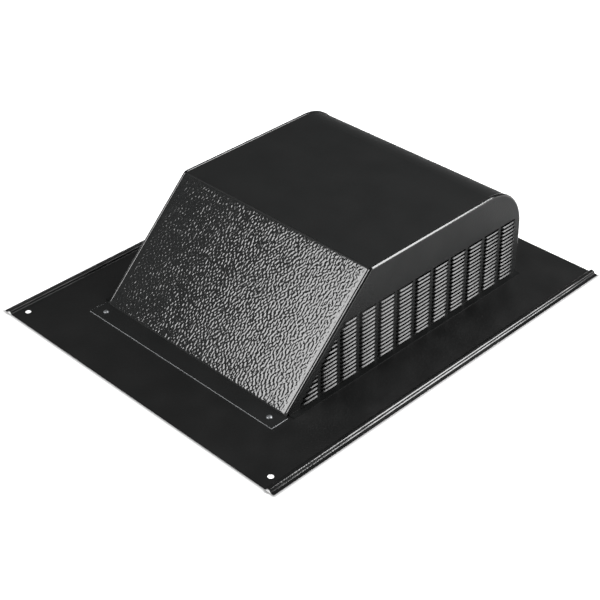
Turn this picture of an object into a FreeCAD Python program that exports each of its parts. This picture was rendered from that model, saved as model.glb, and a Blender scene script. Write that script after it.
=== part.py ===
import FreeCAD, Part
import math
import os

# Static roof vent with a slanted back, in millimetres.
# +X runs across the vent, -Y is the slant side (up the roof), +Y is the rounded nose, +Z is up.
# The origin is the centre of the flashing's underside.

# Sheet metal
SHEET = 0.7                  # thickness of every sheet
LAYER_GAP = 0.1              # room between two folded layers
BEND_RADIUS = 1.0            # inside radius of a pressed bend

# Flashing
FLASHING_WIDTH = 406.0
FLASHING_DEPTH = 482.0
RIB_WIDTH = 6.3              # raised rib near each side edge
RIB_HEIGHT = 3.0
RIB_SLOPE = 1.5              # how far each flank of the rib leans in
LIP_WIDTH = 4.1              # flat strip outside the rib
NAIL_HOLE_DIAMETER = 6.4
NAIL_HOLE_FROM_SIDE = 19.7
NAIL_HOLE_FROM_FRONT = 15.2
THROAT_DIAMETER = 203.0      # air path through the roof deck
THROAT_FROM_NOSE = 171.8     # throat's centre from the nose's outer face
COLLAR_HEIGHT = 12.0         # collar drawn up round the throat, from the flashing's underside

# Hood
HOOD_WIDTH = 269.6           # over the outer faces of the two end panels
HOOD_HEIGHT = 113.0          # flashing's underside to the flat top
SLANT_FOOT_Y = -158.3        # where the slant meets its foot flange
SLANT_TOP_Y = -42.8          # where the slant meets the flat top
NOSE_Y = 187.0               # outer face of the nose leg
NOSE_RADIUS = 52.2
TOP_BEND_RADIUS = 3.0
FRONT_FLANGE_DEPTH = 22.1
FRONT_FLANGE_WIDTH = 273.8
REAR_FLANGE_DEPTH = 15.0
REAR_FLANGE_WIDTH = 236.0

# Seam between the hood and an end panel
SEAM_WIDTH = 2.5             # strip of the panel's edge folded over the hood's face
SEAM_LEG = 1.0               # how far the folded edge reaches down the panel's face
SEAM_FOOT_GAP = 3.0          # the seam stops this far above the foot flanges
SEAM_EDGE_CHAMFER = 0.8      # eases the outside of the fold

# End panels
PANEL_FOOT_WIDTH = 7.0       # foot flange, out from the panel's face

# Louvres, with columns counted from the nose and rows from the foot
LOUVRE_COLUMNS = 12
LOUVRE_ROWS = 15
COLUMN_PITCH = 26.77
COLUMN_WIDTH = 22.1
FIRST_COLUMN_FROM_NOSE = 9.0
ROW_PITCH = 4.56
LOWEST_ROW_Z = 4.6           # middle of the lowest row
BLADE_WIDTH = 2.0            # strip between two slots
BLADE_BOW = 2.0              # how far a full blade's lower edge stands out at its middle
BLADE_TILT = 42.0            # degrees that a full blade leans back from upright at its middle
SHORTEST_BLADE = 3.0
SLOT_BELOW = 0.5             # slot under the lowest blade
SLOT_ABOVE = 1.2             # slot over the top blade
FOOT_MARGIN = 14.3           # plain strip beside the slant's foot, along Y
HEAD_MARGIN = 7.0            # plain strip beside the slant at the top row, along Y

# Rivets
RIVET_HEAD_DIAMETER = 6.0
RIVET_HEAD_HEIGHT = 1.5
RIVET_FLAT_DIAMETER = 3.2    # flat on top of the head
RIVET_SHANK_DIAMETER = 3.2
RIVET_CLEARANCE = 0.05       # round the shank
RIVET_FROM_FRONT_EDGE = 10.3
RIVET_FROM_REAR_EDGE = 6.5
FRONT_RIVET_FROM_END = 13.8  # from each end of the front flange
REAR_RIVET_FROM_END = 18.0   # from each end of the rear flange

# Worked out from the sizes above
FLANGE_TOP = 2 * SHEET
BEND_TOP = FLANGE_TOP + BEND_RADIUS
PANEL_FACE_X = HOOD_WIDTH / 2
PANEL_BACK_X = PANEL_FACE_X - SHEET
HOOD_EDGE_X = PANEL_BACK_X - LAYER_GAP
SEAM_INNER_X = PANEL_FACE_X - SEAM_WIDTH
SEAM_HEIGHT = LAYER_GAP + SHEET
FRONT_EDGE_Y = -FLASHING_DEPTH / 2
FRONT_FLANGE_Y = SLANT_FOOT_Y - FRONT_FLANGE_DEPTH
REAR_FLANGE_Y = NOSE_Y + REAR_FLANGE_DEPTH
THROAT_Y = NOSE_Y - THROAT_FROM_NOSE
FRONT_RIVET_SPACING = FRONT_FLANGE_WIDTH - 2 * FRONT_RIVET_FROM_END
REAR_RIVET_SPACING = REAR_FLANGE_WIDTH - 2 * REAR_RIVET_FROM_END
SLANT_RUN_PER_RISE = (SLANT_TOP_Y - SLANT_FOOT_Y) / (HOOD_HEIGHT - FLANGE_TOP)
TOP_ROW_Z = LOWEST_ROW_Z + (LOUVRE_ROWS - 1) * ROW_PITCH


# Points and paths in a plane

def unit(a, b):
    """Direction from a to b, both (u, v) points."""
    length = math.hypot(b[0] - a[0], b[1] - a[1])
    return ((b[0] - a[0]) / length, (b[1] - a[1]) / length)


def moved(point, direction, distance):
    """The point moved along a direction."""
    return (point[0] + direction[0] * distance, point[1] + direction[1] * distance)


def left_of(direction):
    """The direction turned a quarter turn to the left."""
    return (-direction[1], direction[0])


def offset_path(points, distance):
    """A polyline moved to its left by a distance, with its corners kept sharp."""
    last = len(points) - 1
    result = []
    for index, point in enumerate(points):
        before = left_of(unit(points[max(index - 1, 0)], points[max(index, 1)]))
        after = left_of(unit(points[min(index, last - 1)], points[min(index + 1, last)]))
        scale = distance / (1 + before[0] * after[0] + before[1] * after[1])
        result.append((point[0] + (before[0] + after[0]) * scale,
                       point[1] + (before[1] + after[1]) * scale))
    return result


def turns(points):
    """The signed angle by which a polyline turns at each inner point, left turns positive."""
    angles = []
    for a, b, c in zip(points, points[1:], points[2:]):
        before = unit(a, b)
        after = unit(b, c)
        cross = before[0] * after[1] - before[1] * after[0]
        dot = before[0] * after[0] + before[1] * after[1]
        angles.append(math.atan2(cross, dot))
    return angles


def path_edges(points, radii, place):
    """Edges along a polyline with rounded corners; place turns a (u, v) point into a vector."""
    edges = []
    start = points[0]
    for corner, after, radius, turn in zip(points[1:], points[2:], radii, turns(points)):
        tangent = radius * math.tan(abs(turn) / 2)
        ahead = unit(start, corner)
        arc_start = moved(corner, ahead, -tangent)
        arc_end = moved(corner, unit(corner, after), tangent)
        centre = moved(arc_start, left_of(ahead), math.copysign(radius, turn))
        arc_middle = moved(centre, unit(centre, corner), radius)
        edges.append(Part.makeLine(place(start), place(arc_start)))
        edges.append(Part.Arc(place(arc_start), place(arc_middle), place(arc_end)).toShape())
        start = arc_end
    edges.append(Part.makeLine(place(start), place(points[-1])))
    return edges


def offset_edges(points, radii, distance, place):
    """Rounded edges of a polyline moved to its left; radii belong to the unmoved polyline."""
    shifted = offset_path(points, distance)
    shifted_radii = [radius - math.copysign(1, turn) * distance
                     for radius, turn in zip(radii, turns(points))]
    return shifted, path_edges(shifted, shifted_radii, place)


def strip_face(points, radii, low, high, place):
    """Face between two offsets of a rounded polyline: the section of a bent sheet."""
    low_points, low_edges = offset_edges(points, radii, low, place)
    high_points, high_edges = offset_edges(points, radii, high, place)
    caps = [Part.makeLine(place(low_points[end]), place(high_points[end])) for end in (0, -1)]
    return Part.Face(Part.Wire(Part.__sortEdges__(low_edges + high_edges + caps)))


def at_x(x):
    """Placing function for profiles drawn in (y, z) at a given x."""
    return lambda point: FreeCAD.Vector(x, point[0], point[1])


def at_y(y):
    """Placing function for profiles drawn in (x, z) at a given y."""
    return lambda point: FreeCAD.Vector(point[0], y, point[1])


def along_x(points, radii, low, high, x_from, x_to):
    """Bent sheet whose profile lies in (y, z), between two offsets and two x values."""
    face = strip_face(points, radii, low, high, at_x(x_from))
    return face.extrude(FreeCAD.Vector(x_to - x_from, 0, 0))


def along_y(points, radii, low, high, y_from, y_to):
    """Bent sheet whose profile lies in (x, z), between two offsets and two y values."""
    face = strip_face(points, radii, low, high, at_y(y_from))
    return face.extrude(FreeCAD.Vector(0, y_to - y_from, 0))


def mirrored(shape):
    """The same shape on the other side of the vent."""
    return shape.mirror(FreeCAD.Vector(0, 0, 0), FreeCAD.Vector(1, 0, 0))


def flat_face(points):
    """Face bounded by straight edges through the points."""
    return Part.Face(Part.makePolygon(points + points[:1]))


def revolved(section, x, y):
    """A straight-edged section of (radius, z) points turned about an upright axis at x and y."""
    face = flat_face([at_y(0)(point) for point in section])
    shape = face.revolve(FreeCAD.Vector(0, 0, 0), FreeCAD.Vector(0, 0, 1), 360)
    shape.translate(FreeCAD.Vector(x, y, 0))
    return shape


# Rivets

def rivet_places():
    """Centres of the front pair and the rear pair."""
    front_y = FRONT_FLANGE_Y + RIVET_FROM_FRONT_EDGE
    rear_y = REAR_FLANGE_Y - RIVET_FROM_REAR_EDGE
    front = [(side * FRONT_RIVET_SPACING / 2, front_y) for side in (-1, 1)]
    rear = [(side * REAR_RIVET_SPACING / 2, rear_y) for side in (-1, 1)]
    return front + rear


def rivet_holes(z_from, z_to):
    """Cylinders that cut the rivets' holes through a sheet."""
    radius = RIVET_SHANK_DIAMETER / 2 + RIVET_CLEARANCE
    return [Part.makeCylinder(radius, z_to - z_from, FreeCAD.Vector(x, y, z_from))
            for x, y in rivet_places()]


def make_rivet(x, y):
    """Low head on the flange, and a shank set flush with the flashing's underside."""
    shank = RIVET_SHANK_DIAMETER / 2
    top = FLANGE_TOP + RIVET_HEAD_HEIGHT
    section = [(0, 0), (shank, 0), (shank, FLANGE_TOP), (RIVET_HEAD_DIAMETER / 2, FLANGE_TOP),
               (RIVET_FLAT_DIAMETER / 2, top), (0, top)]
    return revolved(section, x, y)


# Flashing

def flashing_profile():
    """The underside across the flashing, from the left edge to the right edge."""
    edge = FLASHING_WIDTH / 2
    rib_outer = edge - LIP_WIDTH
    rib_inner = rib_outer - RIB_WIDTH
    right = [(rib_inner, 0), (rib_inner + RIB_SLOPE, RIB_HEIGHT),
             (rib_outer - RIB_SLOPE, RIB_HEIGHT), (rib_outer, 0), (edge, 0)]
    left = [(-x, z) for x, z in reversed(right)]
    return left + right


def throat_collar():
    """Collar drawn up round the throat."""
    wall = THROAT_DIAMETER / 2
    section = [(wall, 0), (wall + SHEET, 0), (wall + SHEET, COLLAR_HEIGHT), (wall, COLLAR_HEIGHT)]
    return revolved(section, 0, THROAT_Y)


def nail_holes():
    """Cylinders that cut the two nail holes on the slant side."""
    x = FLASHING_WIDTH / 2 - NAIL_HOLE_FROM_SIDE
    y = FRONT_EDGE_Y + NAIL_HOLE_FROM_FRONT
    return [Part.makeCylinder(NAIL_HOLE_DIAMETER / 2, SHEET, FreeCAD.Vector(side * x, y, 0))
            for side in (-1, 1)]


def make_flashing():
    """One pressed sheet: flat field, side ribs, nail holes and the throat's collar."""
    profile = flashing_profile()
    radii = [BEND_RADIUS + SHEET] * (len(profile) - 2)
    sheet = along_y(profile, radii, 0, SHEET, FRONT_EDGE_Y, -FRONT_EDGE_Y)
    throat = Part.makeCylinder(THROAT_DIAMETER / 2, SHEET, FreeCAD.Vector(0, THROAT_Y, 0))
    sheet = sheet.cut([throat] + nail_holes() + rivet_holes(0, SHEET))
    return sheet.fuse(throat_collar()).removeSplitter()


# Hood

def seam_outline():
    """The hood's outer face along the seam, from the slant's foot to the foot of the nose leg."""
    foot = (SLANT_FOOT_Y, FLANGE_TOP)
    top = (SLANT_TOP_Y, HOOD_HEIGHT)
    start = moved(foot, unit(foot, top), SEAM_FOOT_GAP)
    return [start, top, (NOSE_Y, HOOD_HEIGHT), (NOSE_Y, FLANGE_TOP + SEAM_FOOT_GAP)]


SEAM_RADII = [TOP_BEND_RADIUS, NOSE_RADIUS]


def seam_strip(low, high, x_from, x_to):
    """Layer that follows the seam, between two heights above the hood's face."""
    return along_x(seam_outline(), SEAM_RADII, low, high, x_from, x_to)


def rear_foot():
    """Bend at the foot of the nose leg, and the flange behind it clear of the end panels."""
    path = [(NOSE_Y, BEND_TOP + SHEET), (NOSE_Y, FLANGE_TOP), (REAR_FLANGE_Y, FLANGE_TOP)]
    half = min(REAR_FLANGE_WIDTH / 2, HOOD_EDGE_X)
    bend = along_x(path, [BEND_RADIUS], -SHEET, 0, -half, half)
    start = NOSE_Y + max(BEND_RADIUS, SEAM_HEIGHT + LAYER_GAP)
    corner = FreeCAD.Vector(-REAR_FLANGE_WIDTH / 2, start, SHEET)
    return [bend, Part.makeBox(REAR_FLANGE_WIDTH, REAR_FLANGE_Y - start, SHEET, corner)]


def make_hood():
    """One bent sheet: front flange, slant, top, nose, leg and rear flange."""
    path = [(FRONT_FLANGE_Y, FLANGE_TOP), (SLANT_FOOT_Y, FLANGE_TOP), (SLANT_TOP_Y, HOOD_HEIGHT),
            (NOSE_Y, HOOD_HEIGHT), (NOSE_Y, BEND_TOP)]
    skin = along_x(path, [BEND_RADIUS] + SEAM_RADII, -SHEET, 0, -HOOD_EDGE_X, HOOD_EDGE_X)
    flange_depth = FRONT_FLANGE_DEPTH - BEND_RADIUS
    flange_corner = FreeCAD.Vector(-FRONT_FLANGE_WIDTH / 2, FRONT_FLANGE_Y, SHEET)
    front_flange = Part.makeBox(FRONT_FLANGE_WIDTH, flange_depth, SHEET, flange_corner)
    hood = skin.fuse([front_flange] + rear_foot())
    return hood.cut(rivet_holes(SHEET, FLANGE_TOP)).removeSplitter()


# End panels

def folded_edge():
    """The panel's edge bent over the hood's face, with the outside of the fold eased."""
    leg = seam_strip(-SEAM_LEG, SEAM_HEIGHT, PANEL_BACK_X, PANEL_FACE_X)
    lap = seam_strip(LAYER_GAP, SEAM_HEIGHT, SEAM_INNER_X, PANEL_BACK_X)
    edge = leg.fuse(lap).removeSplitter()
    outer = offset_edges(seam_outline(), SEAM_RADII, SEAM_HEIGHT, at_x(PANEL_FACE_X))[1]
    middles = [piece.CenterOfMass for piece in outer]
    eased = [piece for piece in edge.Edges
             if any(piece.CenterOfMass.isEqual(middle, SHEET / 100) for middle in middles)]
    return edge.makeChamfer(SEAM_EDGE_CHAMFER, eased)


def slant_y(z):
    """Y of the slant's outer face at a height."""
    return SLANT_FOOT_Y + (z - FLANGE_TOP) * SLANT_RUN_PER_RISE


def louvre_rows(column):
    """The low y, high y and middle height of each blade that the slant leaves in a column."""
    high = NOSE_Y - FIRST_COLUMN_FROM_NOSE - column * COLUMN_PITCH
    low = high - COLUMN_WIDTH
    rows = []
    for row in range(LOUVRE_ROWS):
        z = LOWEST_ROW_Z + row * ROW_PITCH
        share = (z - FLANGE_TOP) / (TOP_ROW_Z - FLANGE_TOP)
        margin = FOOT_MARGIN + (HEAD_MARGIN - FOOT_MARGIN) * share
        start = max(low, slant_y(z) + margin)
        if high - start >= SHORTEST_BLADE:
            rows.append((start, high, z))
    return rows


def window(rows):
    """The opening of one column, stepped where the slant cuts its rows short."""
    half = BLADE_WIDTH / 2
    high = rows[0][1]
    bottom = rows[0][2] - half - SLOT_BELOW
    top = rows[-1][2] + half + SLOT_ABOVE
    points = [(high, top), (high, bottom), (rows[0][0], bottom)]
    for (start, _, z), (next_start, _, next_z) in zip(rows, rows[1:]):
        if next_start > start:
            step = (z + next_z) / 2
            points += [(start, step), (next_start, step)]
    points += [(rows[-1][0], top), (high, top)]
    place = at_x(PANEL_BACK_X)
    face = Part.Face(Part.makePolygon([place(point) for point in points]))
    return face.extrude(FreeCAD.Vector(SHEET, 0, 0))


def blade_section(y, z, bow, tilt):
    """Corners of a blade's section at y: outer face low and high, then inner face high and low."""
    lean = math.radians(tilt)
    up = (-math.sin(lean), math.cos(lean))
    outward = (math.cos(lean), math.sin(lean))
    low = (PANEL_FACE_X + bow, z - BLADE_WIDTH / 2 * math.cos(lean))
    high = moved(low, up, BLADE_WIDTH)
    corners = [low, high, moved(high, outward, -SHEET), moved(low, outward, -SHEET)]
    return [at_y(y)(corner) for corner in corners]


def make_blade(low, high, z):
    """A strip that lies in the panel at both ends, and leans and bows out to its middle."""
    formed = (high - low) / COLUMN_WIDTH
    middle = blade_section((low + high) / 2, z, BLADE_BOW * formed, BLADE_TILT * formed)
    ends = [blade_section(y, z, 0, 0) for y in (low, high)]
    faces = [flat_face(end) for end in ends]
    outer_low, outer_high, inner_high, inner_low = range(4)
    sides = ((outer_high, outer_low), (inner_high, inner_low),
             (outer_high, inner_high), (outer_low, inner_low))
    for end in ends:
        for first, second in sides:
            faces.append(flat_face([end[first], end[second], middle[second]]))
            faces.append(flat_face([end[first], middle[second], middle[first]]))
    return Part.makeSolid(Part.makeShell(faces))


def plain_panel():
    """The panel's flat face with its folded edge, and its foot flange turned outwards."""
    overlap = -SEAM_LEG / 2
    edge_points, edge = offset_edges(seam_outline(), SEAM_RADII, overlap, at_x(PANEL_BACK_X))
    foot_start_y = edge_points[0][0]
    foot_end_y = edge_points[-1][0]
    corners = [edge_points[-1], (foot_end_y, BEND_TOP), (foot_start_y, BEND_TOP), edge_points[0]]
    place = at_x(PANEL_BACK_X)
    lines = [Part.makeLine(place(a), place(b)) for a, b in zip(corners, corners[1:])]
    face = Part.Face(Part.Wire(Part.__sortEdges__(edge + lines)))
    plate = face.extrude(FreeCAD.Vector(SHEET, 0, 0))
    foot_path = [(PANEL_FACE_X + PANEL_FOOT_WIDTH, FLANGE_TOP), (PANEL_FACE_X, FLANGE_TOP),
                 (PANEL_FACE_X, BEND_TOP + SHEET)]
    radii = [BEND_RADIUS]
    foot = along_y(foot_path, radii, 0, SHEET, foot_start_y, foot_end_y)
    return plate.fuse([foot, folded_edge()]).removeSplitter()


def make_end_panel():
    """The right end panel: folded edge, plain band, louvres and foot flange in one pressed sheet."""
    columns = [louvre_rows(column) for column in range(LOUVRE_COLUMNS)]
    columns = [rows for rows in columns if rows]
    panel = plain_panel().cut([window(rows) for rows in columns])
    blades = [make_blade(*row) for rows in columns for row in rows]
    return panel.fuse(blades).removeSplitter()


def main():
    """Build every node and write one STEP file for each."""
    os.makedirs("parts", exist_ok=True)
    end_panel = make_end_panel()
    nodes = {
        "flashing": make_flashing(),
        "hood": make_hood(),
        "end_panel_right": end_panel,
        "end_panel_left": mirrored(end_panel),
        "rivets": Part.makeCompound([make_rivet(x, y) for x, y in rivet_places()]),
    }
    for name, shape in nodes.items():
        shape.exportStep("parts/" + name + ".step")
        print(name, len(shape.Solids), "solids,", round(shape.Volume), "mm3,", "valid", shape.isValid())


main()
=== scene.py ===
# %% Load the frame
import math
import bmesh
import bpy
import numpy as np
from mathutils import Matrix, Vector
from mathutils.geometry import tessellate_polygon


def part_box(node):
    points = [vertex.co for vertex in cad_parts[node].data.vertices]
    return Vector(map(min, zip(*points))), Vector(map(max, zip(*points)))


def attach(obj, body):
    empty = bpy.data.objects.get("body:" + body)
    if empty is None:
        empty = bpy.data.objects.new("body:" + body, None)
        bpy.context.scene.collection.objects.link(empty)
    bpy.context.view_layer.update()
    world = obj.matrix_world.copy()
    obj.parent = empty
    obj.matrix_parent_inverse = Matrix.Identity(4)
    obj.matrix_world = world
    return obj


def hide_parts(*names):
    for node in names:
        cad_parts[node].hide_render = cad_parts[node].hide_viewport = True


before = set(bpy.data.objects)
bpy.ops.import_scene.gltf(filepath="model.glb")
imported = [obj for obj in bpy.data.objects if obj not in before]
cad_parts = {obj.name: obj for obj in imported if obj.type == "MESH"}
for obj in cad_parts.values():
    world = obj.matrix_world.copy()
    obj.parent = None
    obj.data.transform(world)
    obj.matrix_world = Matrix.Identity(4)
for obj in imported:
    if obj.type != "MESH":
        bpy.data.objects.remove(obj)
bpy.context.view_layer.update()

# %% [markdown]
# A slant-back roof vent lies on a roof deck: a flat square flashing, and on it a hood of bent
# sheet whose two ends are closed by louvred panels. Every sheet is galvanised steel that was
# painted black before it was cut and pressed. So there is one paint, and the difference between
# the faces comes from how they are formed and what they mirror.
#
# The frame holds the true pieces. This lesson keeps the flashing and the hood as they are, gives
# them their paint, and makes new the three things that catch the light: the louvred end panels
# with their folded seams, the embossing on the slant, and the rivets.

# %% Sizes, in metres, read from the frame where it has them
MM = 0.001
SHEET = 0.7 * MM
SEAM_HEIGHT = 0.8 * MM
FOOT_WIDTH = 7.0 * MM
flashing_low, flashing_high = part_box("flashing")
hood_low, hood_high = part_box("hood")
panel_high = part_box("end_panel_right")[1]
HOOD_HEIGHT = panel_high.z - SEAM_HEIGHT
NOSE_Y = panel_high.y - SEAM_HEIGHT
FACE_X = panel_high.x - FOOT_WIDTH
BACK_X = FACE_X - SHEET
FLANGE_TOP = 2 * SHEET
print("panel face at", FACE_X, "hood height", HOOD_HEIGHT, "nose at", NOSE_Y)

# %% [markdown]
# A few small helpers serve every finish. Colours are written as a painter would pick them, in
# sRGB hex, but the renderer adds up light, so one function turns them to linear values. Another
# adds a shader node with its settings and links in one line, which keeps each material readable.

# %% Helpers for materials


def linear(hex_colour):
    """An sRGB hex colour as linear red, green, blue and alpha."""
    parts = [int(hex_colour[i:i + 2], 16) / 255 for i in (1, 3, 5)]
    return [c / 12.92 if c <= 0.04045 else ((c + 0.055) / 1.055) ** 2.4 for c in parts] + [1.0]


def add(tree, kind, sockets=None, **settings):
    """Add a node. sockets maps an input to a value, or to the output that feeds it."""
    node = tree.nodes.new(kind)
    for name, value in settings.items():
        setattr(node, name, value)
    for name, value in (sockets or {}).items():
        if isinstance(value, bpy.types.NodeSocket):
            tree.links.new(value, node.inputs[name])
        else:
            node.inputs[name].default_value = value
    return node


def new_material(name):
    """An empty material, its node tree and its output node."""
    material = bpy.data.materials.new(name)
    material.use_nodes = True
    material.node_tree.nodes.clear()
    return material, material.node_tree, add(material.node_tree, "ShaderNodeOutputMaterial")


print("#0c0c0c is", round(linear("#0c0c0c")[0], 4), "of white in linear light")

# %% [markdown]
# Some finishes change across one sheet. Rollers rubbed the bends of the right rib bright and left
# its steep flank between them matt, and where the painted strip was cut, its edge shows bare
# zinc. A painted mask could mark such places, but the frame's own meshes are kept as they come.
# So the paint tells them by where they lie on the vent: outside a rectangle seen from above,
# which is given by its half sizes and its middle. To reach the right rib alone, the rectangle is
# centred left of the vent's middle and is far longer than the vent. The flank is a band of
# heights, given by its middle and half.

# %% Where a finish changes
RIB_X = 191 * MM
LEFT_OF_MIDDLE = -50 * MM
NO_END = 1.0
CUT_EDGE = 0.05 * MM
RIGHT_RIB = ((RIB_X - LEFT_OF_MIDDLE, NO_END), (LEFT_OF_MIDDLE, 0))
HOOD_CUT = ((hood_high.x - CUT_EDGE, (hood_high.y - hood_low.y) / 2 - CUT_EDGE),
            (0, (hood_high.y + hood_low.y) / 2))
FLANK_BAND = (2.35 * MM, 0.6 * MM)


def beyond(tree, place, limits, middle=(0, 0)):
    """1 where |x - middle x| or |y - middle y| is past its limit, else 0."""
    offset = add(tree, "ShaderNodeVectorMath", {0: place, 1: (*middle, 0)}, operation="SUBTRACT")
    size = add(tree, "ShaderNodeVectorMath", {0: offset.outputs[0]}, operation="ABSOLUTE")
    past = add(tree, "ShaderNodeVectorMath", {
        0: size.outputs[0], 1: (*limits, 0)}, operation="SUBTRACT")
    side = add(tree, "ShaderNodeSeparateXYZ", {"Vector": past.outputs[0]})
    furthest = add(tree, "ShaderNodeMath", {
        0: side.outputs["X"], 1: side.outputs["Y"]}, operation="MAXIMUM")
    outside = add(tree, "ShaderNodeMath", {
        0: furthest.outputs[0], 1: 0.0}, operation="GREATER_THAN")
    return outside.outputs[0]


print("right rib past", RIGHT_RIB, "and the hood's cut edges past", HOOD_CUT)

# %% [markdown]
# Coil-coated steel is steel strip painted on a roller line and formed afterwards. The paint is a
# thin even polyester: nearly black, so almost all that the eye sees is its mirror, a soft satin
# one. Up close the paint has orange peel, a faint waviness that is about 1 mm across and is drawn
# at 1.8 mm, because a finer one wouldn't show. The sheet under it is never quite flat either, and
# swells every few centimetres. Both bend the reflections, so both are bump. A slow change of
# roughness keeps a large face from looking like plastic.

# %% Black coil-coated steel
ORANGE_PEEL = 1.8 * MM
SHEET_WAVE = 38 * MM
NOISE_LOW = 0.3
NOISE_HIGH = 0.7
PAINT_IOR = 1.5
PAINT_FLECK = "#0b0c0c"
ZINC = "#c4c6c8"
ZINC_METALLIC = 0.3
BURNISH = "burnish"
BURNISHED_SPECULAR = 0.5
DULL_SPECULAR = 0.05


def burnished_share(tree, place, burnished_past):
    """How far each point is burnished, from its place or else from the mesh's own number."""
    if burnished_past:
        return beyond(tree, place, *burnished_past)
    return add(tree, "ShaderNodeAttribute", attribute_name=BURNISH).outputs["Fac"]


def coil_coated_steel(name, colour, roughness, peel, wave, spread=0.05, specular=0.5,
                      burnished=None, burnished_past=None, dull_band=None, bare_past=None):
    """Black polyester paint. peel and wave are bump heights in metres, and spread is how far the
    roughness strays. Where it was rubbed it has the roughness burnished and shines more, but not
    in dull_band, the middle and half of a band of heights. Past bare_past, a rectangle's half
    sizes and middle, the sheet's cut edge is bare zinc."""
    material, tree, output = new_material(name)
    place = add(tree, "ShaderNodeTexCoord").outputs["Object"]
    fine = add(tree, "ShaderNodeTexNoise", {
        "Vector": place, "Scale": 1 / ORANGE_PEEL, "Detail": 2.0})
    slow = add(tree, "ShaderNodeTexNoise", {
        "Vector": place, "Scale": 1 / SHEET_WAVE, "Detail": 1.0})
    rough = add(tree, "ShaderNodeMapRange", {
        "Value": slow.outputs["Fac"], "From Min": NOISE_LOW, "From Max": NOISE_HIGH,
        "To Min": roughness - spread, "To Max": roughness + spread}).outputs["Result"]
    tone = add(tree, "ShaderNodeMix", {
        "Factor": fine.outputs["Fac"], "A": linear(colour), "B": linear(PAINT_FLECK)},
        data_type="RGBA").outputs["Result"]
    wavy = add(tree, "ShaderNodeBump", {
        "Height": slow.outputs["Fac"], "Distance": wave, "Strength": 1.0})
    peeled = add(tree, "ShaderNodeBump", {
        "Height": fine.outputs["Fac"], "Distance": peel, "Strength": 1.0,
        "Normal": wavy.outputs["Normal"]})
    if burnished:
        rubbed = burnished_share(tree, place, burnished_past)
        if dull_band:
            height = add(tree, "ShaderNodeSeparateXYZ", {"Vector": place}).outputs["Z"]
            dull = add(tree, "ShaderNodeMath", {
                0: height, 1: dull_band[0], 2: dull_band[1]}, operation="COMPARE").outputs[0]
            rubbed = add(tree, "ShaderNodeMix", {
                "Factor": dull, "A": rubbed, "B": 0.0}).outputs["Result"]
            specular = add(tree, "ShaderNodeMix", {
                "Factor": dull, "A": specular, "B": DULL_SPECULAR}).outputs["Result"]
        rough = add(tree, "ShaderNodeMix", {
            "Factor": rubbed, "A": rough, "B": burnished}).outputs["Result"]
        specular = add(tree, "ShaderNodeMix", {
            "Factor": rubbed, "A": specular, "B": BURNISHED_SPECULAR}).outputs["Result"]
    paint = {"Base Color": tone, "Roughness": rough, "Normal": peeled.outputs["Normal"],
             "IOR": PAINT_IOR, "Specular IOR Level": specular}
    if bare_past:
        bare = beyond(tree, place, *bare_past)
        paint["Base Color"] = add(tree, "ShaderNodeMix", {
            "Factor": bare, "A": tone, "B": linear(ZINC)}, data_type="RGBA").outputs["Result"]
        paint["Metallic"] = add(tree, "ShaderNodeMix", {
            "Factor": bare, "A": 0.0, "B": ZINC_METALLIC}).outputs["Result"]
    shader = add(tree, "ShaderNodeBsdfPrincipled", paint)
    tree.links.new(shader.outputs["BSDF"], output.inputs["Surface"])
    return material


print("orange peel every", ORANGE_PEEL, "m on a sheet that waves every", SHEET_WAVE, "m")

# %% [markdown]
# The same paint ends up as four finishes. On the flashing it is satin, and the bends of the right
# rib shine as two thin white lines with the matt flank between them. On the hood it is softer
# still, with a thin pale line where the sheet's cut edge is bare. Embossing left the slant
# glossy, so each pebble sparkles, and its colour is drawn a lighter grey than the other faces,
# which is painted light. The end panels are semi-gloss, and smoothest where the seam was folded
# and the blades were pressed. One function makes all four, because only the shade, the gloss,
# the depth of the peel and wave, and the rubbed or cut places differ.

# %% The four black finishes
flashing_paint = coil_coated_steel(
    "satin_black_coil_coated_flashing", "#0c0c0c", roughness=0.42, peel=0.11 * MM,
    wave=1.2 * MM, specular=0.38, burnished=0.14, burnished_past=RIGHT_RIB, dull_band=FLANK_BAND)
hood_paint = coil_coated_steel(
    "satin_black_coil_coated_hood", "#0e0f0f", roughness=0.6, peel=0.05 * MM,
    wave=0.4 * MM, specular=0.28, bare_past=HOOD_CUT)
# Painted light: the slant's colour is a lighter grey than the same black paint on the other faces.
slant_paint = coil_coated_steel(
    "glossy_black_embossed_coil_coating", "#2d2e2e", roughness=0.12, peel=0.01 * MM,
    wave=0.1 * MM, spread=0.02)
panel_paint = coil_coated_steel(
    "semi_gloss_black_coil_coated_panel", "#0f1010", roughness=0.43, peel=0.12 * MM,
    wave=0.3 * MM, specular=0.2, burnished=0.11)
print("paints:", [m.name for m in bpy.data.materials if "black" in m.name])

# %% [markdown]
# Blind rivets are bright aluminium, headed from wire and set cold. A bare metal has no paint to
# hide its scuffs, so a fine noise roughens the shine in small patches, and the eye sees a small
# soft-bright dot. Real scuffs are a tenth of a millimetre or less; they are drawn at 0.5 mm, or
# they wouldn't show on a head that is a few pixels wide.

# %% Bright rivet aluminium
RIVET_COLOUR = "#8d8f91"
RIVET_SMOOTHEST = 0.45
RIVET_ROUGHEST = 0.6
SCUFF_SIZE = 0.5 * MM
SCUFF_DEPTH = 0.02 * MM


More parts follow.
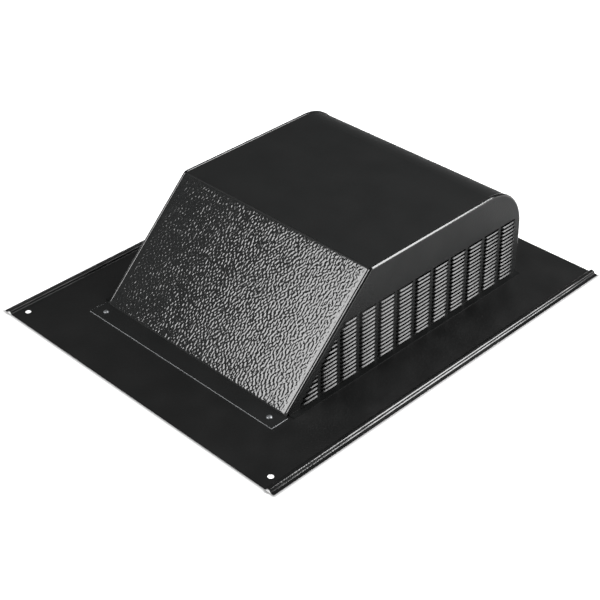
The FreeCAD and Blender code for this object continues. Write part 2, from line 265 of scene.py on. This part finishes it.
def rivet_aluminium():
    """Bare aluminium with a slightly scuffed head: one noise drives roughness and bump."""
    material, tree, output = new_material("bright_rivet_aluminium")
    place = add(tree, "ShaderNodeTexCoord").outputs["Object"]
    grain = add(tree, "ShaderNodeTexNoise", {
        "Vector": place, "Scale": 1 / SCUFF_SIZE, "Detail": 3.0})
    rough = add(tree, "ShaderNodeMapRange", {
        "Value": grain.outputs["Fac"], "To Min": RIVET_SMOOTHEST, "To Max": RIVET_ROUGHEST})
    bump = add(tree, "ShaderNodeBump", {
        "Height": grain.outputs["Fac"], "Distance": SCUFF_DEPTH, "Strength": 1.0})
    metal = add(tree, "ShaderNodeBsdfPrincipled", {
        "Base Color": linear(RIVET_COLOUR), "Metallic": 1.0,
        "Roughness": rough.outputs["Result"], "Normal": bump.outputs["Normal"]})
    tree.links.new(metal.outputs["BSDF"], output.inputs["Surface"])
    return material


rivet_metal = rivet_aluminium()
print("rivets are", rivet_metal.name)

# %% [markdown]
# The flashing and the hood are kept as the frame gives them, because their flat faces and even
# bends need nothing more than paint. Each has one slot, and its finish goes into that slot.

# %% Paint the frame's own pieces


def dress(node_name, material):
    """Give a node of the frame its finish, in the slot that it came with."""
    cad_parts[node_name].material_slots[0].material = material


dress("flashing", flashing_paint)
dress("hood", hood_paint)
print("painted: flashing and hood")

# %% [markdown]
# Each new piece is worked out as arrays of points and then handed to Blender in one go. A piece of
# sheet metal is made of a few closed shells that meet face to face, such as a plate, a fold and
# the louvre blades. One function joins them into one object, turns all faces outwards, and shades
# them smooth except across sharp edges.

# %% Helpers for meshes
SHARP_EDGE = math.radians(32)


def grid_quads(rows, columns, closed_columns):
    """Corner numbers of the quads between neighbouring points of a grid stored row by row: the
    point in row i and column j has the number i * columns + j."""
    wide = columns if closed_columns else columns - 1
    row, column = np.meshgrid(np.arange(rows - 1), np.arange(wide), indexing="ij")
    start = row * columns + column
    beside = row * columns + (column + 1) % columns
    return np.stack([start, beside, beside + columns, start + columns], axis=-1).reshape(-1, 4)


def tube_shell(grid):
    """A closed tube from a grid of points, rows along it and columns round it, with flat ends."""
    rows, columns = grid.shape[:2]
    ends = [list(range(columns)), [(rows - 1) * columns + i for i in range(columns)]]
    return grid.reshape(-1, 3), grid_quads(rows, columns, True).tolist() + ends


def mirror_x(shell):
    """The same shell on the other side of the vent: each x becomes -x."""
    points, faces = shell
    return points * np.array([-1.0, 1.0, 1.0]), faces


def make_piece(name, shells, material, replaced=(), burnish=()):
    """Join closed shells into one object that rides on the vent's body. How far each shell is
    burnished, from 0 to 1, goes to its points as a number that the paint reads."""
    points = np.concatenate([shell[0] for shell in shells])
    starts = np.cumsum([0] + [len(shell[0]) for shell in shells])
    faces = [[start + corner for corner in face]
             for start, shell in zip(starts.tolist(), shells) for face in shell[1]]
    mesh = bpy.data.meshes.new(name)
    mesh.from_pydata(points.tolist(), [], faces)
    rubbed = mesh.attributes.new(BURNISH, "FLOAT", "POINT")
    if burnish:
        rubbed.data.foreach_set("value", np.repeat(burnish, np.diff(starts)).astype(np.float32))
    shape = bmesh.new()
    shape.from_mesh(mesh)
    bmesh.ops.recalc_face_normals(shape, faces=shape.faces)
    shape.to_mesh(mesh)
    shape.free()
    mesh.polygons.foreach_set("use_smooth", np.ones(len(mesh.polygons), bool))
    mesh.set_sharp_from_angle(angle=SHARP_EDGE)
    mesh.materials.append(material)
    piece = bpy.data.objects.new(name, mesh)
    bpy.context.scene.collection.objects.link(piece)
    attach(piece, "root")
    if replaced:
        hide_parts(*replaced)
    triangles = sum(len(polygon.vertices) - 2 for polygon in mesh.polygons)
    print(name, len(mesh.vertices), "points,", triangles, "triangles")
    return piece


print("a grid of 3 by 4 points has", len(grid_quads(3, 4, False)), "quads")

# %% [markdown]
# Seen from the end, the hood is a slant, a flat top and a rounded nose. Everything on an end panel
# follows that line: the folded seam, the plain band and the last louvres beside the slant. So the
# line is made once, as straight runs joined by arcs, with the direction that points away from it.

# %% The line that the end panels follow
SLANT_FOOT_Y = -158.3 * MM
SLANT_TOP_Y = -42.8 * MM
SEAM_BEND_RADIUS = 5.0 * MM
NOSE_RADIUS = 52.2 * MM
SEAM_FOOT_GAP = 3.0 * MM
ARC_POINTS = 25


def rounded_path(corners, radii):
    """Points (y, z) and outward directions along runs that are joined by tangent arcs.

    At a corner that turns by t, an arc of radius r starts r tan(t/2) before it. Its points are
    centre + r n, with n = (-sin h, cos h) as the heading h goes from one run's to the next's."""
    corners = np.array(corners)
    runs = np.diff(corners, axis=0)
    headings = np.arctan2(runs[:, 1], runs[:, 0])
    points = [corners[:1]]
    turned = [headings[:1]]
    for corner, before, after, radius in zip(corners[1:-1], headings, headings[1:], radii):
        ahead = np.array([math.cos(before), math.sin(before)])
        outward = np.array([-math.sin(before), math.cos(before)])
        centre = corner - radius * math.tan(abs(after - before) / 2) * ahead - radius * outward
        sweep = np.linspace(before, after, ARC_POINTS)
        points.append(centre + radius * np.column_stack([-np.sin(sweep), np.cos(sweep)]))
        turned.append(sweep)
    points.append(corners[-1:])
    turned.append(headings[-1:])
    turned = np.concatenate(turned)
    return np.concatenate(points), np.column_stack([-np.sin(turned), np.cos(turned)])


slant_foot = np.array([SLANT_FOOT_Y, FLANGE_TOP])
slant_top = np.array([SLANT_TOP_Y, HOOD_HEIGHT])
SLANT_LENGTH = float(np.linalg.norm(slant_top - slant_foot))
slant_up = (slant_top - slant_foot) / SLANT_LENGTH
slant_out = np.array([-slant_up[1], slant_up[0]])
seam_start = slant_foot + slant_up * SEAM_FOOT_GAP
seam_points, seam_normals = rounded_path(
    [seam_start, slant_top, (NOSE_Y, HOOD_HEIGHT), (NOSE_Y, FLANGE_TOP + SEAM_FOOT_GAP)],
    [SEAM_BEND_RADIUS, NOSE_RADIUS])
print("seam line:", len(seam_points), "points; slant", round(SLANT_LENGTH / MM, 1), "mm long")

# %% [markdown]
# The seam is the panel's own edge, bent over the hood's skin and pressed down on it. Its rounded
# outside draws the bright line along the right edge of the top in the photograph, so it gets a
# true quarter circle. The narrow strip that lies on the skin ends in a quarter of an ellipse,
# which on the left seam faces the same lamp and draws the thin line there. The section is drawn
# once, across the vent and away from the line, and carried along the line.

# %% Folded seam
FOLD_RADIUS = 2.2 * MM
FOLD_FOOT = SEAM_HEIGHT - FOLD_RADIUS
FOLD_GAP = 0.05 * MM
STRIP_EDGE_X = FACE_X - 3.8 * MM
STRIP_EDGE_WIDTH = 1.3 * MM
STRIP_EDGE_DROP = 0.7 * MM
FOLD_STEPS = 10


def seam_shell():
    """The folded strip: vertex (i, j) is section point j placed at path point i, at
    (x, y + n_y h, z + n_z h) for a section point at x across and h away from the line. The fold
    is x = face - r (1 - cos a), h = foot + r sin a, and the strip's edge is such an arc with one
    size across and another in height."""
    turn = np.linspace(0, math.pi / 2, FOLD_STEPS)
    fold = np.column_stack([FACE_X - FOLD_RADIUS * (1 - np.cos(turn)),
                            FOLD_FOOT + FOLD_RADIUS * np.sin(turn)])
    strip_edge = np.column_stack([STRIP_EDGE_X + STRIP_EDGE_WIDTH * (1 - np.sin(turn)),
                                  SEAM_HEIGHT - STRIP_EDGE_DROP * (1 - np.cos(turn))])
    under = np.array([(STRIP_EDGE_X, FOLD_GAP), (BACK_X, FOLD_GAP), (BACK_X, FOLD_FOOT)])
    section = np.concatenate([fold, strip_edge, under])
    across = np.broadcast_to(section[:, 0], (len(seam_points), len(section)))
    away = seam_points[:, None, :] + seam_normals[:, None, :] * section[None, :, 1, None]
    return tube_shell(np.concatenate([across[..., None], away], axis=-1))


right_seam = seam_shell()
print("seam:", len(right_seam[0]), "points on", len(seam_points), "sections")

# %% [markdown]
# The louvres are twelve columns of short blades, left standing between slots that a press cut
# through the panel. Towards the slant the columns get shorter, and the rows that the slant would
# cut are shorter still. One function lists every blade, by where it starts and ends and how high
# it is, and both the windows in the plate and the blades in them are made from that list.

# %% Louvre layout
COLUMNS = 12
ROWS = 15
COLUMN_PITCH = 26.77 * MM
COLUMN_WIDTH = 23.3 * MM
FIRST_COLUMN_FROM_NOSE = 9.0 * MM
ROW_PITCH = 4.56 * MM
LOWEST_ROW_Z = 4.6 * MM
BLADE_WIDTH = 1.5 * MM
SLOT_BELOW = 0.5 * MM
SLOT_ABOVE = 1.2 * MM
FOOT_MARGIN = 14.3 * MM
HEAD_MARGIN = 7.0 * MM
SHORTEST_BLADE = 3.0 * MM


def louvre_column(column):
    """Start y, end y and middle z of each blade in a column, from the lowest row up."""
    z = LOWEST_ROW_Z + ROW_PITCH * np.arange(ROWS)
    share = (z - FLANGE_TOP) / (z[-1] - FLANGE_TOP)
    slant_y = SLANT_FOOT_Y + (z - FLANGE_TOP) * slant_up[0] / slant_up[1]
    end = NOSE_Y - FIRST_COLUMN_FROM_NOSE - column * COLUMN_PITCH
    margin = FOOT_MARGIN + (HEAD_MARGIN - FOOT_MARGIN) * share
    start = np.maximum(end - COLUMN_WIDTH, slant_y + margin)
    blades = np.column_stack([start, np.full(ROWS, end), z])
    return blades[end - start >= SHORTEST_BLADE]


louvre_columns = [louvre_column(column) for column in range(COLUMNS)]
print("blades on each side:", sum(len(blades) for blades in louvre_columns))

# %% [markdown]
# The plate is flat, so it only needs its outline and its windows. A polygon with holes can be
# filled with triangles in one call, for the front and again for the back, and a wall joins the
# two along every loop. At its foot the sheet turns outwards in a bend that is nearly sharp, and
# the flange that this leaves lies on the flashing.

# %% Plate with its windows
BEND_RADIUS = 0.05 * MM
BEND_TOP = FLANGE_TOP + BEND_RADIUS
BEND_STEPS = 7


def window_outline(blades):
    """Corners (y, z) of one column's window, stepped where the slant cuts its rows short."""
    half = BLADE_WIDTH / 2
    end = blades[0, 1]
    bottom = blades[0, 2] - half - SLOT_BELOW
    top = blades[-1, 2] + half + SLOT_ABOVE
    corners = [(end, top), (end, bottom), (blades[0, 0], bottom)]
    for here, above in zip(blades, blades[1:]):
        if above[0] > here[0]:
            step = (here[2] + above[2]) / 2
            corners += [(here[0], step), (above[0], step)]
    return corners + [(blades[-1, 0], top)]


def plate_shell():
    """The panel's flat face: outline and windows filled at the front and back, walls between."""
    edge = seam_points + seam_normals * FOLD_FOOT
    outline = edge.tolist() + [(edge[-1, 0], BEND_TOP), (edge[0, 0], BEND_TOP)]
    loops = [outline] + [window_outline(blades) for blades in louvre_columns]
    triangles = [tuple(t) for t in tessellate_polygon(
        [[Vector((y, z, 0)) for y, z in loop] for loop in loops])]
    flat = np.concatenate([np.array(loop) for loop in loops])
    count = len(flat)
    front = np.column_stack([np.full(count, FACE_X), flat])
    back = np.column_stack([np.full(count, BACK_X), flat])
    faces = [list(t) for t in triangles] + [[corner + count for corner in t] for t in triangles]
    start = 0
    for loop in loops:
        size = len(loop)
        here = start + np.arange(size)
        following = start + (np.arange(size) + 1) % size
        faces += np.column_stack([here, following, following + count, here + count]).tolist()
        start += size
    return np.concatenate([front, back]), faces


def foot_shell():
    """The foot flange: the sheet's section bent outwards by a quarter turn, carried along y. Its
    bend has points centre - r (cos a, sin a), once for the face and once for the back."""
    turn = np.linspace(0, math.pi / 2, BEND_STEPS)[:, None]
    towards_face = np.concatenate([-np.cos(turn), -np.sin(turn)], axis=1)
    centre = np.array([FACE_X + BEND_RADIUS, BEND_TOP])
    upper = centre + BEND_RADIUS * towards_face
    lower = centre + (BEND_RADIUS + SHEET) * towards_face[::-1]
    tip = np.array([(FACE_X + FOOT_WIDTH, FLANGE_TOP), (FACE_X + FOOT_WIDTH, SHEET)])
    section = np.concatenate([upper, tip, lower])
    ends = (seam_points + seam_normals * FOLD_FOOT)[[0, -1], 0]
    grid = np.empty((2, len(section), 3))
    grid[..., 0] = section[:, 0]
    grid[..., 1] = ends[:, None]
    grid[..., 2] = section[:, 1]
    return tube_shell(grid)


right_plate = plate_shell()
right_foot = foot_shell()
print("plate:", len(right_plate[0]), "points; foot flange:", len(right_foot[0]), "points")

# %% [markdown]
# A blade is a strip that stays in the plate at both ends. Between them the press pushed its lower
# edge out and leaned it back, so from above each strip bows into a shallow smile and shows its
# whole face to the light. Bow and lean are nearly the same all along and turn back only close to
# the ends, so the light runs evenly over the blade. A short blade is pushed out less. All the
# blades are worked out at once, with more stations near their ends, where they twist.

# %% Louvre blades
BLADE_BOW = 2.0 * MM
BLADE_TILT = math.radians(42)
BLADE_CROWN = 0.12 * MM
BLADE_STEPS = 13
FLAT_POWER = 16.0
SMILE = 0.15
LEAN_POWER = 24.0
SHORT_POWER = 0.5


def blade_shells():
    """One closed tube for each blade. Along it t goes from 0 to 1, s = (1 - cos(pi t)) / 2, and
    an arch is 1 - |2s - 1| ** power. Tilt is its largest value times one arch. Bow is its largest
    value times a flat arch, with a small share of a parabola. The section is the outer low edge,
    the crown of the face, the outer high edge, and the two inner edges."""
    blades = np.concatenate(louvre_columns)
    s = (1 - np.cos(np.linspace(0, math.pi, BLADE_STEPS))) / 2
    formed = ((blades[:, 1] - blades[:, 0]) / COLUMN_WIDTH)[:, None]
    off_middle = np.abs(2 * s - 1)
    arch = formed * ((1 - SMILE) * (1 - off_middle ** FLAT_POWER) + SMILE * (1 - off_middle ** 2))
    tilt = BLADE_TILT * formed ** SHORT_POWER * (1 - off_middle ** LEAN_POWER)
    y = blades[:, :1] + (blades[:, 1:2] - blades[:, :1]) * s
    out = np.stack([np.cos(tilt), np.sin(tilt)], axis=-1)
    up = np.stack([-np.sin(tilt), np.cos(tilt)], axis=-1)
    low_z = blades[:, 2:] - BLADE_WIDTH / 2 * np.cos(tilt)
    low = np.stack([FACE_X + BLADE_BOW * arch, low_z], axis=-1)
    middle = low + up * BLADE_WIDTH / 2 + out * BLADE_CROWN * arch[..., None]
    high = low + up * BLADE_WIDTH
    section = np.stack([low, middle, high, high - out * SHEET, low - out * SHEET], axis=2)
    spread = np.broadcast_to(y[:, :, None], section.shape[:3])
    grids = np.stack([section[..., 0], spread, section[..., 1]], axis=-1)
    return [tube_shell(grid) for grid in grids]


right_blades = blade_shells()
print("blades:", len(right_blades), "tubes of", len(right_blades[0][0]), "points")

# %% [markdown]
# An end panel is one sheet, so its seam, plate, foot flange and blades become one piece, which
# takes the place of the frame's own. The seam is burnished fully and the blades half, because
# the press rubbed them. The left panel is the right one mirrored.

# %% End panels
SEAM_BURNISH = 1.0
FLAT_BURNISH = 0.0
BLADE_BURNISH = 0.5
right_shells = [right_seam, right_plate, right_foot] + right_blades
left_shells = [mirror_x(shell) for shell in right_shells]
burnish = [SEAM_BURNISH, FLAT_BURNISH, FLAT_BURNISH] + [BLADE_BURNISH] * len(right_blades)
make_piece("louvred_panel_right", right_shells, panel_paint,
           ["end_panel_right"], burnish)
make_piece("louvred_panel_left", left_shells, panel_paint,
           ["end_panel_left"], burnish)

# %% [markdown]
# The slant is pressed with a leather grain, so it glitters where the top and the flashing only
# shine. The grain could be a bump in the paint, but then the exported mesh would lose it, so it
# is real here: a field of very shallow pebbles on a fine grid, laid on the slant and sinking into
# it towards its edges, where the press left the sheet smooth. The pebbles are a sum of many waves
# of nearly one length and of random directions, which the eye reads as an even but aimless grain.

# %% Leather grain on the slant
GRAIN_LENGTH = 3.4 * MM
GRAIN_SPREAD = 0.36
GRAIN_HEIGHT = 0.088 * MM
GRAIN_LIFT = 0.10 * MM
GRAIN_STRETCH = 1.35
GRAIN_STEP = 0.68 * MM
GRAIN_WAVES = 90
GRAIN_PRESS = 1.3
RIGHT_FADE = 7.0 * MM
LEFT_FADE = 5.0 * MM
TOP_FADE = 4.0 * MM
FOOT_FADE = 1.0 * MM
FOOT_START = 0.3 * MM
TOP_END = 1.3 * MM
GRAIN_SINK = 0.05 * MM
SEAM_CLEARANCE = 0.15 * MM
GRAIN_SEED = 7


def grain_field(x, u):
    """Height between -1 and 1 at x across and u up the slant: the sum of cosines
    cos(k (x cos a + u sin a) + p) with random directions a and phases p, and lengths
    near GRAIN_LENGTH, pressed flat at its tops and bottoms by tanh."""
    draw = np.random.default_rng(GRAIN_SEED)
    direction = draw.uniform(0, 2 * math.pi, GRAIN_WAVES)
    phase = draw.uniform(0, 2 * math.pi, GRAIN_WAVES)
    wave = 2 * math.pi / (GRAIN_LENGTH * (1 + GRAIN_SPREAD * draw.uniform(-1, 1, GRAIN_WAVES)))
    total = np.zeros(x.shape)
    for k, a, p in zip(wave, direction, phase):
        total += np.cos(k * (x * math.cos(a) + u * math.sin(a)) + p)
    return np.tanh(GRAIN_PRESS * total / math.sqrt(GRAIN_WAVES / 2))


def slant_shell():
    """The grain's grid over the slant, closed by one flat face just under the slant's skin. The
    point at x across and u up is foot + u up + h out. The height h is the lift and the grain,
    times a fade that goes from 1 to 0 at each edge as 3 s^2 - 2 s^3."""
    half = STRIP_EDGE_X - SEAM_CLEARANCE
    x = np.linspace(-half, half, round(2 * half / GRAIN_STEP))
    u = np.linspace(FOOT_START, SLANT_LENGTH - TOP_END, round(SLANT_LENGTH / GRAIN_STEP))
    x, u = np.meshgrid(x, u)
    fade = np.ones(x.shape)
    for distance, reach in ((half - x, RIGHT_FADE), (half + x, LEFT_FADE),
                            (u.max() - u, TOP_FADE), (u - u.min(), FOOT_FADE)):
        share = np.clip(distance / reach, 0, 1)
        fade *= share * share * (3 - 2 * share)
    relief = GRAIN_LIFT + GRAIN_HEIGHT * grain_field(x, u / GRAIN_STRETCH)
    height = fade * relief - GRAIN_SINK * (fade <= 0)
    y = slant_foot[0] + slant_up[0] * u + slant_out[0] * height
    z = slant_foot[1] + slant_up[1] * u + slant_out[1] * height
    rows, columns = x.shape
    number = np.arange(rows * columns).reshape(rows, columns)
    rim = np.concatenate([number[0], number[1:, -1], number[-1, -2::-1], number[-2:0:-1, 0]])
    faces = grid_quads(rows, columns, False).tolist() + [rim.tolist()]
    return np.stack([x, y, z], axis=-1).reshape(-1, 3), faces


make_piece("leather_grain_on_slant", [slant_shell()], slant_paint)

# %% [markdown]
# Four blind rivets hold the hood's flanges to the flashing. A rivet could be two cylinders, but
# its head is domed and draws a round highlight. So its outline, from the middle of the head down
# to the foot of the shank, is carried round a circle.

# %% Rivets
RIVET_HEAD = 3.0 * MM
RIVET_SHANK = 1.6 * MM
RIVET_HEIGHT = 1.5 * MM
RIVET_SIDES = 32
FRONT_RIVETS = (123.1 * MM, -170.1 * MM)
REAR_RIVETS = (100.0 * MM, 195.5 * MM)
CROWN_START = 0.19
DOME_STEPS = 8


def rivet_shell(x, y):
    """A domed head and its shank: the outline (r, z) turned to (r cos a, r sin a, z). The dome is
    a quarter of an ellipse, from a small flat on top down to the flange."""
    lean = np.linspace(CROWN_START, math.pi / 2, DOME_STEPS)
    dome = np.column_stack([RIVET_HEAD * np.sin(lean), FLANGE_TOP + RIVET_HEIGHT * np.cos(lean)])
    shank = [(RIVET_SHANK, FLANGE_TOP), (RIVET_SHANK, 0.0)]
    outline = np.concatenate([dome, shank])
    turn = np.arange(RIVET_SIDES) * 2 * math.pi / RIVET_SIDES
    grid = np.empty((len(outline), RIVET_SIDES, 3))
    grid[..., 0] = x + outline[:, :1] * np.cos(turn)
    grid[..., 1] = y + outline[:, :1] * np.sin(turn)
    grid[..., 2] = outline[:, 1:]
    return tube_shell(grid)


rivet_shells = [rivet_shell(side * x, y)
                for x, y in (FRONT_RIVETS, REAR_RIVETS) for side in (-1, 1)]
make_piece("blind_rivets", rivet_shells, rivet_metal, ["rivets"])

# %% [markdown]
# The photograph was taken from the vent's front right corner, well above it. The camera's place
# was worked out from points whose real place is known, such as the flashing's corners, so it is
# written as a photographer would note it: which way it looks, how far it stands from the vent,
# its roll, and how far the vent sits off the middle of the picture.

# %% Camera
AZIMUTH = math.radians(45.923)
ELEVATION = math.radians(34.936)
ROLL = math.radians(-1.152)
DISTANCE = 1.51678
OFF_RIGHT = -0.005237
OFF_UP = -0.007755
LENS_IN_PIXELS = 1430.25
PICTURE = 600
SENSOR = 36.0
CLIP_START = 0.05


def camera_axes():
    """The camera's right, up and back directions as the rows of a 3 by 3 array. Back is
    (sin a cos e, -cos a cos e, sin e), right is level, and both right and up turn by the roll."""
    back = np.array([math.sin(AZIMUTH) * math.cos(ELEVATION),
                     -math.cos(AZIMUTH) * math.cos(ELEVATION), math.sin(ELEVATION)])
    right = np.array([math.cos(AZIMUTH), math.sin(AZIMUTH), 0.0])
    up = np.cross(back, right)
    turned_right = right * math.cos(ROLL) + up * math.sin(ROLL)
    turned_up = up * math.cos(ROLL) - right * math.sin(ROLL)
    return np.array([turned_right, turned_up, back])


axes = camera_axes()
camera = bpy.data.objects.new("camera", bpy.data.cameras.new("camera"))
bpy.context.scene.collection.objects.link(camera)
camera.data.sensor_width = SENSOR
camera.data.lens = LENS_IN_PIXELS / PICTURE * SENSOR
camera.data.clip_start = CLIP_START
place = Matrix(axes.T.tolist()).to_4x4()
place.translation = Vector((axes.T @ np.array([OFF_RIGHT, OFF_UP, DISTANCE])).tolist())
camera.matrix_world = place
bpy.context.scene.camera = camera
print("camera at", tuple(camera.location), "lens", camera.data.lens)

# %% [markdown]
# Black paint is lit by its surroundings: each face shows whatever its mirror points at. A long
# softbox up and behind on the right shows in the louvres, along the seam and, blurred, in the
# plain band of the end panels. One in front on the left shows in the slant's right half, and
# further left only the steep sides of the grain catch it. Each softbox is written by its
# direction from the vent, its size in metres, and its brightness as a multiple of white.

# %% Lamps
LAMP_AIM = Vector((0, 0, 0.05))


def softbox(name, direction, along, distance, length, width, brightness):
    """A rectangular lamp facing the vent, its length lying along a direction. Its power is
    brightness times pi times its area."""
    lamp = bpy.data.lights.new(name, "AREA")
    lamp.shape = "RECTANGLE"
    lamp.size = length
    lamp.size_y = width
    lamp.energy = brightness * math.pi * length * width
    back = Vector(direction).normalized()
    side = (Vector(along) - back * back.dot(Vector(along))).normalized()
    place = Matrix((side, back.cross(side), back)).transposed().to_4x4()
    place.translation = LAMP_AIM + back * distance
    holder = bpy.data.objects.new(name, lamp)
    holder.matrix_world = place
    holder.visible_camera = False
    bpy.context.scene.collection.objects.link(holder)
    return holder


softbox("strip_back_right", direction=(0.590, 0.606, 0.534), along=(-0.669, 0.0, 0.743),
        distance=1.9, length=2.5, width=0.6, brightness=17)
softbox("softbox_front_left", direction=(-0.290, -0.694, 0.659), along=(0.0, 0.697, 0.717),
        distance=1.9, length=0.70, width=0.98, brightness=12.5)
print("lamps:", {lamp.name: round(lamp.energy, 1) for lamp in bpy.data.lights})

# %% [markdown]
# The room is dim, so the top and the flashing, which mirror it, stay dark. It could be a picture
# of a real studio, but three plain shades are easier to match. In a mirror it gets white towards
# the horizon, as where a paper backdrop curves up. The camera itself sees pure white behind the
# vent. All other rays see an even grey.

# %% Room
ROOM = 0.17
HORIZON = 0.1
world = bpy.data.worlds.new("studio")
bpy.context.scene.world = world
world.use_nodes = True
sky = world.node_tree
sky.nodes.clear()
ray_direction = add(sky, "ShaderNodeTexCoord").outputs["Generated"]
height = add(sky, "ShaderNodeSeparateXYZ", {"Vector": ray_direction})
glow = add(sky, "ShaderNodeMapRange", {
    "Value": height.outputs["Z"], "From Min": 0.0, "From Max": HORIZON,
    "To Min": 1.0, "To Max": ROOM}, interpolation_type="SMOOTHSTEP")
rays = add(sky, "ShaderNodeLightPath")
dim = add(sky, "ShaderNodeBackground", {"Color": linear("#ffffff"), "Strength": ROOM})
mirrored = add(sky, "ShaderNodeBackground", {
    "Color": linear("#ffffff"), "Strength": glow.outputs["Result"]})
white = add(sky, "ShaderNodeBackground", {"Color": linear("#ffffff"), "Strength": 1.0})
gloss = add(sky, "ShaderNodeMixShader", {
    "Fac": rays.outputs["Is Glossy Ray"], 1: dim.outputs[0], 2: mirrored.outputs[0]})
seen = add(sky, "ShaderNodeMixShader", {
    "Fac": rays.outputs["Is Camera Ray"], 1: gloss.outputs[0], 2: white.outputs[0]})
add(sky, "ShaderNodeOutputWorld", {"Surface": seen.outputs[0]})
print("room at", ROOM, "of white")

# %% [markdown]
# The floor is white paper. It has to stay pure white in the picture and still show the thin soft
# shadow where the sheet metal lifts off it along the front and the right, so its colour darkens
# just outside those two edges, and camera rays see a little more light than the lamps give.
# Under the hood its colour is nearly black, a painted shade, so that the throat stays dark behind
# the louvres. Rays that start just above it pass, and so do rays from below, so the vent's
# underside can be looked at too. Paper fibres are finer than a pixel here, so they are drawn 3 mm
# long.

# %% Floor
FLOOR_HALF = 4.0
SHADOW_REACH = 5.5 * MM
SHADOW_DEPTH = 0.32
PAPER_LIFT = 0.45
PAPER_FIBRE = 3 * MM
PAPER_TINTS = ("#f4f4f4", "#efefef")
HOOD_REACH_X = 150 * MM
HOOD_REACH_Y = 200 * MM
PAINTED_SHADE_UNDER_HOOD = 0.03
FLOOR_Z = -0.1 * MM
CLOSE_BY = 0.3 * MM


def paper_floor():
    """White paper, which the eye takes for plain light. Outside the flashing's front and right
    edges its shade goes from SHADOW_DEPTH up to 1 over SHADOW_REACH, as 3 s^2 - 2 s^3."""
    material, tree, output = new_material("white_backdrop_paper")
    place = add(tree, "ShaderNodeTexCoord").outputs["Object"]
    size = add(tree, "ShaderNodeVectorMath", {0: place}, operation="ABSOLUTE")
    past = add(tree, "ShaderNodeVectorMath", {
        0: size.outputs[0], 1: (flashing_high.x, flashing_high.y, 0)}, operation="SUBTRACT")
    outside = add(tree, "ShaderNodeVectorMath", {
        0: past.outputs[0], 1: (0, 0, 0)}, operation="MAXIMUM")
    reach = add(tree, "ShaderNodeVectorMath", {0: outside.outputs[0]}, operation="LENGTH")
    shadow = add(tree, "ShaderNodeMapRange", {
        "Value": reach.outputs["Value"], "From Min": 0.0, "From Max": SHADOW_REACH,
        "To Min": SHADOW_DEPTH, "To Max": 1.0}, interpolation_type="SMOOTHSTEP")
    across = add(tree, "ShaderNodeSeparateXYZ", {"Vector": place})
    right = add(tree, "ShaderNodeMath", {
        0: across.outputs["X"], 1: flashing_high.x}, operation="SUBTRACT")
    front = add(tree, "ShaderNodeMath", {
        0: flashing_low.y, 1: across.outputs["Y"]}, operation="SUBTRACT")
    past_two = add(tree, "ShaderNodeMath", {
        0: right.outputs[0], 1: front.outputs[0]}, operation="MAXIMUM")
    shaded_side = add(tree, "ShaderNodeMath", {
        0: past_two.outputs[0], 1: 0.0}, operation="GREATER_THAN")
    contact = add(tree, "ShaderNodeMix", {
        "Factor": shaded_side.outputs[0], "A": 1.0, "B": shadow.outputs["Result"]})
    # Painted shade: the paper under the hood is coloured nearly black, so the throat stays dark.
    under = add(tree, "ShaderNodeMix", {
        "Factor": beyond(tree, place, (HOOD_REACH_X, HOOD_REACH_Y)), "A": PAINTED_SHADE_UNDER_HOOD, "B": 1.0})
    shade = add(tree, "ShaderNodeMath", {
        0: contact.outputs["Result"], 1: under.outputs["Result"]}, operation="MULTIPLY")
    fibre = add(tree, "ShaderNodeTexNoise", {
        "Vector": place, "Scale": 1 / PAPER_FIBRE, "Detail": 3.0})
    tint = add(tree, "ShaderNodeMix", {
        "Factor": fibre.outputs["Fac"], "A": linear(PAPER_TINTS[0]), "B": linear(PAPER_TINTS[1])},
        data_type="RGBA")
    shaded = add(tree, "ShaderNodeVectorMath", {
        0: tint.outputs["Result"], "Scale": shade.outputs[0]}, operation="SCALE")
    diffuse = add(tree, "ShaderNodeBsdfDiffuse", {"Color": shaded.outputs[0]})
    rays = add(tree, "ShaderNodeLightPath")
    lift = add(tree, "ShaderNodeMath", {
        0: rays.outputs["Is Camera Ray"], 1: PAPER_LIFT}, operation="MULTIPLY")
    glow = add(tree, "ShaderNodeEmission", {
        "Color": shaded.outputs[0], "Strength": lift.outputs[0]})
    lit = add(tree, "ShaderNodeAddShader", {0: diffuse.outputs[0], 1: glow.outputs[0]})
    below = add(tree, "ShaderNodeBsdfTransparent")
    side = add(tree, "ShaderNodeNewGeometry")
    close = add(tree, "ShaderNodeMath", {
        0: rays.outputs["Ray Length"], 1: CLOSE_BY}, operation="LESS_THAN")
    clear = add(tree, "ShaderNodeMath", {
        0: side.outputs["Backfacing"], 1: close.outputs[0]}, operation="MAXIMUM")
    both = add(tree, "ShaderNodeMixShader", {
        "Fac": clear.outputs[0], 1: lit.outputs[0], 2: below.outputs[0]})
    tree.links.new(both.outputs[0], output.inputs["Surface"])
    return material


floor_mesh = bpy.data.meshes.new("floor")
floor_mesh.from_pydata([(x * FLOOR_HALF, y * FLOOR_HALF, FLOOR_Z)
                        for x, y in ((-1, -1), (1, -1), (1, 1), (-1, 1))], [], [(0, 1, 2, 3)])
floor_mesh.materials.append(paper_floor())
floor = bpy.data.objects.new("floor", floor_mesh)
bpy.context.scene.collection.objects.link(floor)
print("floor:", 2 * FLOOR_HALF, "m square at", FLOOR_Z, "m")

# %% [markdown]
# The photograph's greys are matched with the plain sRGB transform, so nothing else bends them.

bpy.context.scene.view_settings.view_transform = "Standard"
